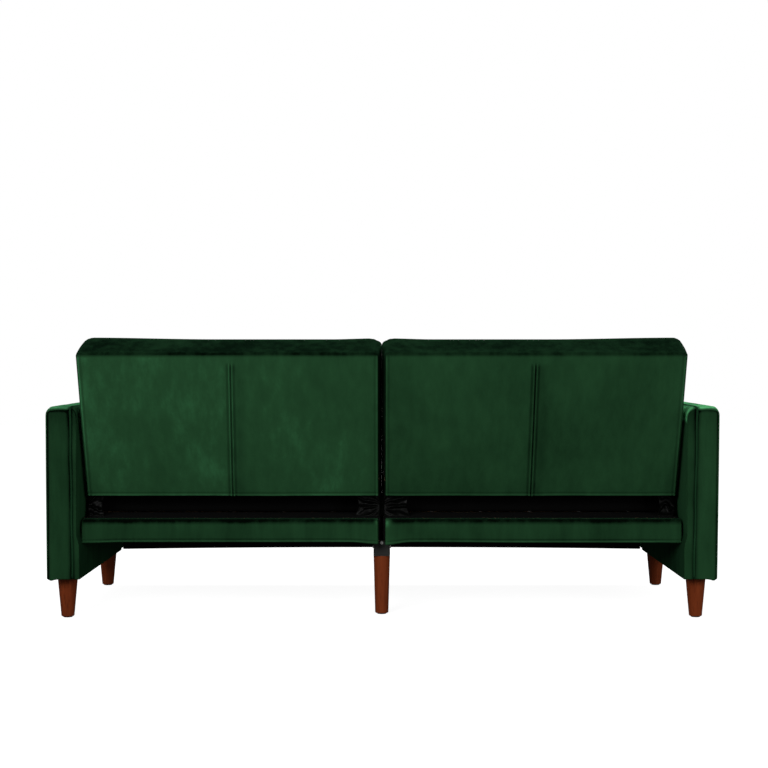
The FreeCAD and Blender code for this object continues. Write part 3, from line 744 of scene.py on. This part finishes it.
# ------------------------
# Seat
# ------------------------
def seat_cushion_mesh():
    """The left seat cushion: a box whose top is stitched into squares and puffed up."""
    low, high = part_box("left_seat_cushion")
    xs = spread(low.x, high.x, SEAT_STEP)
    ys = spread(low.y, high.y, SEAT_STEP)
    zs = spread(low.z, high.z, 0.012)
    points, faces = shell(xs, ys, zs)
    flat = points.copy()
    points = rounded(points, (0.012, 0.020, 0.006), (0.012, 0.018, 0.022))
    columns = seam_lines(low.x, high.x, TUFT_COLUMNS)
    rows = seam_lines(low.y, high.y, TUFT_ROWS)
    to_column = nearest_seam(flat[:, 0], columns)
    to_row = nearest_seam(flat[:, 1], rows)
    top = flat[:, 2] > high.z - TOUCH
    edge = edge_distance(flat[:, 0], flat[:, 1], low, high)
    to_seam, sink = tufting(to_column, to_row, edge)
    points[top, 2] -= 0.006 + sink[top]
    front = flat[:, 1] < low.y + TOUCH
    held = ~top & ~front
    held |= top & (to_seam < SEAT_STEP * 0.55)
    held |= top & (edge < 0.004)
    held |= front & ((flat[:, 2] < low.z + 0.02) | (flat[:, 2] > high.z - 0.004))
    points = inflated(points, faces, held, cap=0.024)
    points[:, 2] = np.minimum(points[:, 2], high.z + 0.012)
    points[:, 1] = np.minimum(points[:, 1], high.y + 0.001)
    pressed = smooth(-np.abs(flat[:, 2] - (low.z + high.z) / 2), -0.0755, -0.066)
    pressed *= (flat[:, 0] < low.x + TOUCH) * smooth(flat[:, 1], low.y + 0.004, low.y + 0.03)
    points[:, 0] -= 0.0060 * pressed
    return points, faces, flat, to_seam


def seats():
    low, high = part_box("left_seat_cushion")
    points, faces, flat, to_seam = seat_cushion_mesh()
    notch_x = 0.0088
    gap = (flat[:, 1] > 0.052) & (flat[:, 0] < low.x + TOUCH)
    for side_name, side in SIDES.items():
        body = points.copy()
        body[:, 0] = np.where(gap, np.maximum(body[:, 0], notch_x), body[:, 0])
        body[:, 0] = np.maximum(body[:, 0], 0.00002)
        wave = ripple(flat, 0.22, by_side(side, 31, 37))
        top = flat[:, 2] > high.z - TOUCH
        body[top, 2] += 0.0015 * wave[top]
        tone_and_painted_light = 0.5 + 0.12 * ripple(flat, 0.4, by_side(side, 41, 43))
        # painted shade in the stitched seams of the seat top
        tone_and_painted_light -= 0.22 * bell(to_seam, 0.006) * top
        pad(side_name, "seat_pad", "seat_cushion", body, faces, tone_and_painted_light,
            lined=turned_away(flat, faces, low, high))
        welt(side_name, "seat_welt", rounded_loop((low.x + 0.004, low.y + 0.002),
                                                  (high.x - 0.001, high.y - 0.006), [0.016] * 4),
             lambda loop: np.column_stack([loop, np.full(len(loop), high.z - 0.011)]), "base")


def welt(side_name, name, loop, lay, body, radius=0.0032):
    """A piped seam round a cushion's edge."""
    points, faces = tube(lay(loop), radius)
    points, faces = mirrored(points, faces, SIDES[side_name])
    piece(f"{side_name}_{name}", points, faces, PIPING, body,
          np.full(len(points), 0.45))


def aprons_and_rails(side_name):
    side = SIDES[side_name]
    low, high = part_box("left_front_apron")
    low.x = 0.0
    xs = spread(low.x, high.x, 0.014, [(low.x, 0.012, 0.004), (high.x, 0.012, 0.004)])
    ys = spread(low.y, high.y, 0.006)
    zs = spread(low.z, high.z, 0.012, [(low.z, 0.01, 0.003), (high.z, 0.01, 0.004)])
    points, faces = shell(xs, ys, zs)
    flat = points.copy()
    points = rounded(points, (0.006, 0.010, 0.004), (0.004, 0.003, 0.008))
    inward = ((high.x - flat[:, 0]) / (high.x - low.x)).clip(0, 1)
    fall = 1 - rise_of(flat, low, high)
    points[:, 2] += fall * (0.0062 * (1 - (1 - inward) ** 2.2) - 0.0030)
    front = flat[:, 1] < low.y + TOUCH
    wave = ripple(flat, 0.25, by_side(side, 51, 53))
    points[front, 1] -= 0.0015 + 0.0012 * wave[front]
    tone_and_painted_light = 0.46 + 0.07 * wave
    pad(side_name, "apron", "front_apron", points, faces, tone_and_painted_light,
        lined=turned_away(flat, faces, low, high))

    # the rear rail sags a little towards the middle of the sofa, with a hem along its lower edge
    low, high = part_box("left_rear_rail")
    xs = spread(low.x, high.x, 0.014, [(low.x, 0.014, 0.003), (high.x, 0.014, 0.003)])
    ys = spread(low.y, high.y, 0.006, [(high.y, 0.012, 0.004)])
    zs = spread(low.z, high.z, 0.007, [(low.z, 0.010, 0.0014)])
    points, faces = shell(xs, ys, zs)
    flat = points.copy()
    depth = smooth(flat[:, 1], low.y, high.y)
    points = rounded(points, (0.006, 0.0005, 0.003),
                     np.column_stack([depth * 0 + 0.005, depth * 0 + 0.013,
                                      0.0006 + 0.0134 * depth]))
    rear = flat[:, 1] > high.y - TOUCH
    wave = ripple(flat, 0.21, by_side(side, 61, 67))
    rise = (flat[:, 2] - low.z) / (high.z - low.z)
    points[rear, 1] += (0.0032 * np.sin(rise.clip(0, 1) * math.pi) + 0.0010 * wave)[rear]
    hem = bell(flat[:, 2] - (low.z + 0.0045), 0.0022)
    above = bell(flat[:, 2] - (low.z + 0.0095), 0.0020)
    points[rear, 1] += (0.0022 * hem - 0.0018 * above)[rear]
    if side == 1:
        droop = 0.0012 + 0.0065 * smooth(-flat[:, 0], -0.10, -0.012)
        droop += 0.0035 * smooth(flat[:, 0], 0.80, 0.93)
    else:
        droop = 0.0012 + 0.0095 * smooth(-flat[:, 0], -0.09, -0.012)
        droop += 0.0020 * smooth(flat[:, 0], 0.15, 0.45) + 0.0015 * smooth(flat[:, 0], 0.87, 0.93)
    points[:, 2] -= droop * (1 - rise.clip(0, 1))
    from_end = np.minimum(flat[:, 0] - low.x, high.x - flat[:, 0])
    # painted light and shade on the rail: painted highlights at its ends and on the hem with
    # painted shade just above the hem, lighter low down near the ends, a painted dark band along
    # the top, and a painted highlight spot at the top inner corner
    tone_and_painted_light = 0.275 + 0.04 * wave + 0.12 * bell(from_end - 0.003, 0.004)
    tone_and_painted_light += (0.24 * hem - 0.14 * above) * rear * smooth(from_end, 0.0, 0.10)
    tone_and_painted_light += 0.08 * smooth(-from_end, -0.10, -0.01) * bell(flat[:, 2] - low.z, 0.03)
    tone_and_painted_light -= 0.28 * smooth(flat[:, 2], high.z - 0.014, high.z - 0.008)
    from_painted_glint = np.hypot(flat[:, 0] - low.x - 0.006, flat[:, 2] - high.z + 0.006)
    tone_and_painted_light += 0.55 * bell(from_painted_glint, by_side(side, 0.006, 0.011))
    pad(side_name, "rail", "rear_rail", points, faces, tone_and_painted_light)


def cover_sheet(name, low, high, node_name, body, seed, sag, lean=False, side=1):
    """A thin black cover, stapled round its edge and slightly slack in between."""
    xs = spread(low[0], high[0], 0.016)
    ys = spread(low[1], high[1], 0.010)
    zs = np.array([low[2], high[2]])
    points, faces = shell(xs, ys, zs)
    edge = edge_distance(points[:, 0], points[:, 1], low, high)
    slack = smooth(edge, 0.0, 0.04)
    points[:, 2] += sag * slack * (0.55 + 0.45 * ripple(points * (1, 1, 0), 0.13, seed))
    if lean:
        points = leaning(points)
    points, faces = mirrored(points, faces, side)
    made = piece(name, points, faces, BLACK_CLOTH, body)
    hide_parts(node_name)


def covers(side_name):
    side = SIDES[side_name]
    low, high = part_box("left_seat_dust_cover")
    cover_sheet(f"{side_name}_dust_sheet", (low.x, low.y, low.z),
                (high.x, high.y, high.z - 0.0005),
                f"{side_name}_seat_dust_cover", "base", by_side(side, 71, 72), -0.006, side=side)
    low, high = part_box("left_seat_rear_cover")
    cover_sheet(f"{side_name}_rear_sheet", (low.x - 0.0028, low.y - 0.014, low.z + 0.0005),
                (high.x + 0.0025, high.y + 0.006, high.z),
                f"{side_name}_seat_rear_cover", "base", by_side(side, 73, 74), 0.003, side=side)
    inner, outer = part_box("left_back_bottom_cover")
    cover_sheet(f"{side_name}_foot_sheet", (inner.x, HINGE_INSET - BACK_THICK, 0.0002),
                (outer.x, -0.006, 0.002), f"{side_name}_back_bottom_cover", f"{side_name}_back",
                by_side(side, 75, 76), 0.001, lean=True, side=side)


# ------------------------
# Back halves
# ------------------------
RIM = -0.121
BACK_INNER = 0.0085
BACK_OUTER = 0.925
HINGE_TOP = 0.057


def top_rise(x):
    """How far the front of a back half's top edge stands up, most at the outer corner."""
    along = share_of(x, BACK_INNER, BACK_OUTER)
    return 0.0020 + 0.0030 * smooth(-along, -0.16, -0.02) + 0.0055 * smooth(along, 0.55, 0.97)


def clear_of_hinge(points, flat):
    """Keeps the inner side off the hinge plates below, and lets the halves touch above them."""
    blend = smooth(flat[:, 2], HINGE_TOP, HINGE_TOP + 0.012)
    nearest = (BACK_INNER + 0.0003) * (1 - blend) + 0.00001 * blend
    points[:, 0] = np.maximum(points[:, 0], nearest)


def back_pad_mesh():
    """The front of the left back half, upright: stitched squares puffed up by cloth pressure."""
    inner, outer = 0.004, 0.922
    low_z, high_z = 0.004, 0.477
    xs = spread(inner, outer, SEAT_STEP)
    ys = spread(-BACK_THICK + 0.004, RIM + 0.016, 0.0085)
    zs = spread(low_z, high_z, SEAT_STEP)
    points, faces = shell(xs, ys, zs)
    flat = points.copy()
    points = rounded(points, (0.024, 0.018, 0.022), (0.028, 0.004, 0.026))
    columns = seam_lines(BACK_INNER, BACK_OUTER, TUFT_COLUMNS)
    rows = seam_lines(0.0, BACK_HEIGHT, TUFT_ROWS)
    to_column = nearest_seam(flat[:, 0], columns)
    to_row = nearest_seam(flat[:, 2], rows)
    front = flat[:, 1] < ys[0] + TOUCH
    edge = edge_distance(flat[:, 0], flat[:, 2], (inner, low_z), (outer, high_z))
    to_seam, sink = tufting(to_column, to_row, edge)
    points[front, 1] += sink[front]
    held = ~front
    held |= front & (to_seam < SEAT_STEP * 0.55)
    held |= front & (edge < 0.006)
    points = inflated(points, faces, held, cap=0.022)
    farthest = BACK_THICK + 0.012 - 0.010 * smooth(-flat[:, 2], -0.13, -0.05)
    points[:, 1] = np.maximum(points[:, 1], -farthest)
    inside = front & (edge > 0.03)
    points[inside, 1] = np.minimum(points[inside, 1], RIM - 0.003)
    up = share_of(flat[:, 2], low_z, high_z)
    points[:, 2] += top_rise(flat[:, 0]) * up ** 8
    points[:, 2] = np.maximum(points[:, 2], 0.0020)
    return points, faces, flat, to_seam, front


def back_cover_mesh(side):
    """The sides and rear of a back half, upright, with a double-ridged seam down the middle."""
    middle = (BACK_INNER + BACK_OUTER) / 2
    low_z, high_z = 0.0010, 0.4800
    xs = spread(BACK_INNER, BACK_OUTER, 0.015, [(middle, 0.020, 0.0012),
                                                (BACK_INNER, 0.018, 0.0024),
                                                (BACK_OUTER, 0.018, 0.0024)])
    ys = spread(RIM, 0.0, 0.009, [(0.0, 0.010, 0.003), (RIM, 0.004, 0.003)])
    zs = spread(low_z, high_z, 0.014, [(low_z, 0.012, 0.0020), (high_z, 0.016, 0.003)])
    points, faces = shell(xs, ys, zs)
    flat = points.copy()
    forward = (flat[:, 1] / RIM).clip(0, 1)
    inner_corner = 0.010 + 0.012 * forward
    outer_corner = 0.010 + BACK_CORNER[by_side(side, "left", "right")] * forward
    upper = np.where(flat[:, 0] < middle, inner_corner, outer_corner)
    points = rounded(points,
                     np.column_stack([inner_corner, forward * 0 + 0.006, forward * 0 + 0.004]),
                     np.column_stack([outer_corner, forward * 0 + 0.009, upper]))
    rear = flat[:, 1] > -TOUCH
    x_from = flat[:, 0] - middle
    height = flat[:, 2]
    seam_fade = smooth(-height, -0.4455, -0.438)
    ridges = bell(x_from - 0.0046, 0.0019) + bell(x_from + 0.0046, 0.0019)
    groove = bell(x_from, 0.0021)
    flanks = bell(np.abs(x_from) - 0.0105, 0.0032)
    seam = (0.0026 * ridges - 0.0030 * groove - 0.0020 * flanks) * seam_fade
    from_side = np.minimum(flat[:, 0] - BACK_INNER, BACK_OUTER - flat[:, 0])
    side_welt = bell(from_side - 0.0060, 0.0026)
    side_groove = bell(from_side - 0.0125, 0.0026)
    hem = bell(height - (low_z + 0.0055), 0.0024)
    hem_groove = bell(height - (low_z + 0.0115), 0.0026)
    stretch = (1 - (x_from / ((BACK_OUTER - BACK_INNER) / 2)) ** 2).clip(0)
    bulge = 0.0050 * np.sqrt(stretch) * np.sin((height / high_z).clip(0, 1) * math.pi) ** 0.6
    pulled = 0.0016 * ripple(flat * (1, 0, 0.45), 0.24, by_side(side, 81, 83))
    shift = seam + bulge + pulled * smooth(from_side, 0.0, 0.05)
    shift += 0.0020 * side_welt - 0.0018 * side_groove
    shift += 0.0018 * hem - 0.0014 * hem_groove
    points[rear, 1] += shift[rear]
    if side == 1:
        points[:, 0] -= 0.009 * (height / high_z) * bell(x_from, 0.22)
    top = height > high_z - TOUCH
    points[:, 2] += (top_rise(flat[:, 0]) + 0.0015) * forward * smooth(height, 0.25, high_z)
    points[top, 2] += 0.0014 * ripple(flat, 0.20, by_side(side, 85, 87))[top]
    outside = flat[:, 0] > BACK_OUTER - TOUCH
    inside = flat[:, 0] < BACK_INNER + TOUCH
    free = smooth(height, HINGE_TOP, HINGE_TOP + 0.012)
    points[outside, 0] += ((0.0004 + 0.0025 * np.sin(forward * math.pi)) * free)[outside]
    touching = smooth(forward, 0.22, 0.55) * smooth(-forward, -1.0, -0.85)
    points[inside, 0] -= (0.0100 * touching * free)[inside]
    clear_of_hinge(points, flat)
    # painted light and shade on the back cover: the left half painted lighter than the right and
    # lighter on its outer half, lighter towards the top and darker at the foot, painted highlights
    # on the seam ridges, side welts and hem with painted shade in their grooves and in a band
    # beside the seam, the inner side painted near black where it faces the gap, the top face
    # painted dark, and a painted dark line along its front edge
    tone_and_painted_light = 0.445 + 0.055 * smooth(x_from, -0.03, 0.03) if side == 1 else 0.355 + 0 * x_from
    tone_and_painted_light += 0.05 * ripple(flat * (1, 0, 0.35), 0.33, by_side(side, 91, 93))
    tone_and_painted_light += 0.04 * smooth(height, 0.20, 0.42) - 0.03 * smooth(-height, -0.12, 0.0)
    tone_and_painted_light -= 0.08 * bell(x_from + side * 0.024, 0.016) * seam_fade * rear
    tone_and_painted_light += (0.12 * ridges - 0.36 * groove - 0.20 * flanks) * seam_fade * rear
    tone_and_painted_light += (0.13 * side_welt - 0.12 * side_groove + 0.08 * hem - 0.09 * hem_groove) * rear
    tone_and_painted_light[outside] = 0.32
    tone_and_painted_light[inside] = 0.02
    over_top = smooth(height, high_z - 0.014, high_z - 0.002)
    shaded = 0.085 - 0.03 * np.sin(forward * math.pi) + 0.06 * smooth(forward, 0.82, 0.97)
    tone_and_painted_light = tone_and_painted_light * (1 - over_top) + shaded * over_top
    tone_and_painted_light -= 0.30 * smooth(forward, 0.93, 1.0)
    return points, faces, tone_and_painted_light


def backs():
    pad_points, pad_faces, flat, to_seam, front = back_pad_mesh()
    for side_name, side in SIDES.items():
        points = pad_points.copy()
        clear_of_hinge(points, flat)
        wave = ripple(flat, 0.2, by_side(side, 101, 103))
        points[front, 1] += 0.0012 * wave[front]
        tone_and_painted_light = 0.5 + 0.10 * ripple(flat, 0.38, by_side(side, 107, 109))
        # painted shade in the stitched seams of the back's front
        tone_and_painted_light -= 0.22 * bell(to_seam, 0.006) * front
        body = f"{side_name}_back"
        pad(side_name, "back_pad", "back_cushion", leaning(points), pad_faces, tone_and_painted_light, body)
        points, faces, tone_and_painted_light = back_cover_mesh(side)
        pad(side_name, "back_cover", "back_rear_panel", leaning(points), faces, tone_and_painted_light, body)
        welt(side_name, "back_welt",
             rounded_loop((BACK_INNER + 0.0045, 0.0105), (BACK_OUTER - 0.003, 0.4765),
                          [0.010 + BACK_CORNER[side_name], 0.026, 0.022, 0.022]),
             lambda loop: leaning(np.column_stack([
                 loop[:, 0], np.full(len(loop), RIM - 0.0005),
                 loop[:, 1] + top_rise(loop[:, 0]) * smooth(loop[:, 1], 0.30, 0.47)])), body)


# ------------------------
# Black gussets over the hinges, between the foot of each back half and the seat
# ------------------------
def gusset(side_name, end, near_x, far_x, folds, seed):
    """A thin lining from the foot of a back half to the seat, gathered towards the hinge."""
    columns, rows = 64, 34
    foot_depth = -0.020
    t, u = np.meshgrid(np.linspace(0, 1, rows), np.linspace(0, 1, columns), indexing="ij")
    top = leaning(np.array([[0.0, foot_depth, 0.0005]]))[0]
    bottom = np.array([0.0, 0.262, 0.3095])
    gather_t = 0.62
    across = near_x + (far_x - near_x) * u
    pinch = np.sin(t * math.pi) * 0.16
    xs = across - (far_x - near_x) * pinch * u
    ys = top[1] + (bottom[1] - top[1]) * t
    zs = top[2] + (bottom[2] - top[2]) * t
    angle = np.arctan2(gather_t - t, u * 1.15 + 0.10)
    radius = np.hypot(gather_t - t, u)
    drift = ripple(np.column_stack([u.ravel(), t.ravel(), np.zeros(u.size)]), 0.9, seed)
    phase = angle * folds + 1.6 * drift.reshape(u.shape)
    crest = 1 - np.abs(np.sin(phase))
    depth = 0.0085 * smooth(radius, 0.04, 0.45) * np.sin(t * math.pi) ** 0.5
    small = ripple(np.column_stack([xs.ravel(), ys.ravel(), zs.ravel()]) * (1, 1, 2),
                   0.03, seed + 1)
    ys = ys + depth * (crest - 0.4) + 0.0012 * small.reshape(u.shape) * np.sin(t * math.pi)
    ys = ys - 0.006 * np.sin(t * math.pi) - 0.012 * bell(u, 0.07)
    sheet = np.column_stack([xs.ravel(), ys.ravel(), zs.ravel()])
    thick = 0.0008
    points = np.vstack([sheet, sheet - (0, thick, 0)])
    points, faces = mirrored(points, sheet_faces(columns, rows), SIDES[side_name])
    made = piece(f"{side_name}_{end}_gusset", points, faces, LINING, None)
    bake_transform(made)


def end_wrap(side_name):
    """Black cloth folded round the inner rear corner of a seat frame."""
    low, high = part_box("left_seat_frame")
    gap, thick = 0.0002, 0.0004
    rows = spread(low.z + 0.0005, high.z + 0.0003, 0.006)
    lap, side_reach = 0.016, 0.088
    outline = [(low.x + t, high.y + gap) for t in np.linspace(lap, 0, 7)]
    outline += [(low.x - gap, high.y - t) for t in np.linspace(0, side_reach, 23)]
    outline = np.array(outline)
    away = np.array([(0, 1)] * 6 + [(-0.7, 0.7)] * 2 + [(-1, 0)] * 22, float)
    layers = []
    for step in (0.0, thick):
        edge = outline + away * step
        for z in rows:
            layers.append(np.column_stack([edge, np.full(len(edge), z)]))
    points = np.concatenate(layers)
    wave = ripple(points, 0.05, 161)
    points[:, 0] += 0.0001 * wave
    faces = sheet_faces(len(outline), len(rows), turned=True)
    points, faces = mirrored(points, faces, SIDES[side_name])
    made = piece(f"{side_name}_end_wrap", points, faces, BLACK_CLOTH, "base")


# ------------------------
# Assembly
# ------------------------
for name in SIDES:
    arm(name)
    aprons_and_rails(name)
    covers(name)
    end_wrap(name)
seats()
backs()
gusset("left", "inner", 0.0, 0.086, 7.0, 121)
gusset("right", "inner", 0.0, 0.092, 6.0, 131)
gusset("left", "outer", 0.930, 0.872, 5.0, 141)
gusset("right", "outer", 0.930, 0.866, 5.0, 151)


# ------------------------
# Studio: pale floor, soft light, and a camera behind the sofa
# ------------------------
def studio_floor():
    half = 14.0
    mesh = bpy.data.meshes.new("floor")
    mesh.from_pydata([(-half, -half, 0), (half, -half, 0), (half, half, 0), (-half, half, 0)],
                     [], [(0, 1, 2, 3)])
    floor = bpy.data.objects.new("floor", mesh)
    bpy.context.scene.collection.objects.link(floor)
    n = Nodes("studio_white")
    mottle = n.noise(2.0, 2, 0.5)
    color = n.ramp(mottle, [(0.3, (0.26, 0.26, 0.26)), (0.7, (0.30, 0.30, 0.30))])
    # the floor glows white, a little less near the sofa: painted soft shade round it
    nearness = n.add("ShaderNodeTexGradient", gradient_type="SPHERICAL")
    n.join(n.stretched((0.30, 0.30, 0.30)), nearness.inputs["Vector"])
    glow = n.levels(nearness.outputs["Fac"], 0.15, 0.75, 1.0, 0.93)
    n.join(glow, n.shader.inputs["Emission Strength"])
    n.finish(color, Roughness=0.9, Emission_Color=(1, 1, 1, 1))
    mesh.materials.append(n.material)
    floor.visible_diffuse = False
    floor.visible_glossy = False


def soft_light(name, place, aim, size, power):
    data = bpy.data.lights.new(name, "AREA")
    data.shape = "RECTANGLE"
    data.size, data.size_y = size
    data.energy = power
    light = bpy.data.objects.new(name, data)
    light.location = place
    light.rotation_euler = (Vector(aim) - Vector(place)).to_track_quat("-Z", "Y").to_euler()
    bpy.context.scene.collection.objects.link(light)


def camera():
    data = bpy.data.cameras.new("camera")
    data.lens = 68.13
    data.sensor_width = 36
    data.clip_end = 60
    arm_rear, distance, height, pitch = 0.374, 4.45, 0.782, math.radians(0.713)
    eye = Vector((0, arm_rear + distance, height))
    aim = Vector((-0.0068, arm_rear, height - distance * math.tan(pitch)))
    viewer = bpy.data.objects.new("camera", data)
    viewer.location = eye
    viewer.rotation_euler = (aim - eye).to_track_quat("-Z", "Y").to_euler()
    bpy.context.scene.collection.objects.link(viewer)
    bpy.context.scene.camera = viewer


def world(seen=1.0, shed=0.13):
    """A white backdrop that sheds less light than it shows."""
    sky = bpy.data.worlds.new("studio")
    sky.use_nodes = True
    nodes, links = sky.node_tree.nodes, sky.node_tree.links
    background = nodes["Background"]
    background.inputs["Color"].default_value = (1, 1, 1, 1)
    path = nodes.new("ShaderNodeLightPath")
    strength = nodes.new("ShaderNodeMapRange")
    strength.inputs["To Min"].default_value = shed
    strength.inputs["To Max"].default_value = seen
    links.new(path.outputs["Is Camera Ray"], strength.inputs["Value"])
    links.new(strength.outputs["Result"], background.inputs["Strength"])
    bpy.context.scene.world = sky
    bpy.context.scene.view_settings.view_transform = "Standard"


studio_floor()
soft_light("key", (1.7, 3.9, 2.0), (0.1, 0.2, 0.5), (2.0, 1.4), 114)
soft_light("fill", (-2.2, 3.6, 1.3), (-0.3, 0.2, 0.4), (1.8, 1.4), 50)
soft_light("side_left", (3.6, 0.4, 1.3), (1.0, 0, 0.4), (1.6, 1.2), 16)
soft_light("side_right", (-3.6, 0.4, 1.3), (-1.0, 0, 0.4), (1.6, 1.2), 16)
soft_light("top", (0, -1.6, 2.6), (0, -0.1, 0.6), (3.4, 0.9), 62)
camera()
world()
